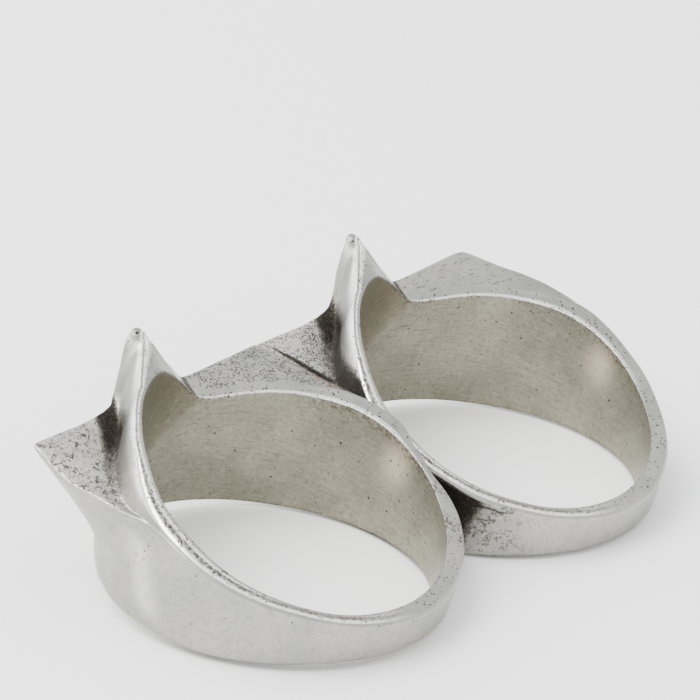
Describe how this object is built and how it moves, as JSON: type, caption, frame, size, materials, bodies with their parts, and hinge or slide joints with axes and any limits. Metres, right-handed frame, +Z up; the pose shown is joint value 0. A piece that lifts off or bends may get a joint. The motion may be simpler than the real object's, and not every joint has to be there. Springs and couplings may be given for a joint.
{
  "type": "knuckle ring",
  "caption": "Knuckle ring in antiqued silver: joined finger bands, low at the palm side, rise to a flared front with sharp points, bright rims and dark patina in the hollows",
  "frame": {"origin": "Middle of the piece's footprint, at the surface it lies on", "axes": "+X runs along the row of rings to the wearer's right ring in the picture, +Y points to the front with the points, +Z is up from the surface; the finger holes lean back a little from +Z because the piece rests on its lower edges"},
  "size_m": [0.0418, 0.022, 0.0123],
  "materials": {
    "antiqued_silver": "antiqued silver, satin, darkened in the hollows"
  },
  "bodies": {
    "root": {"knuckle_ring": "antiqued_silver"}
  },
  "joints": []
}
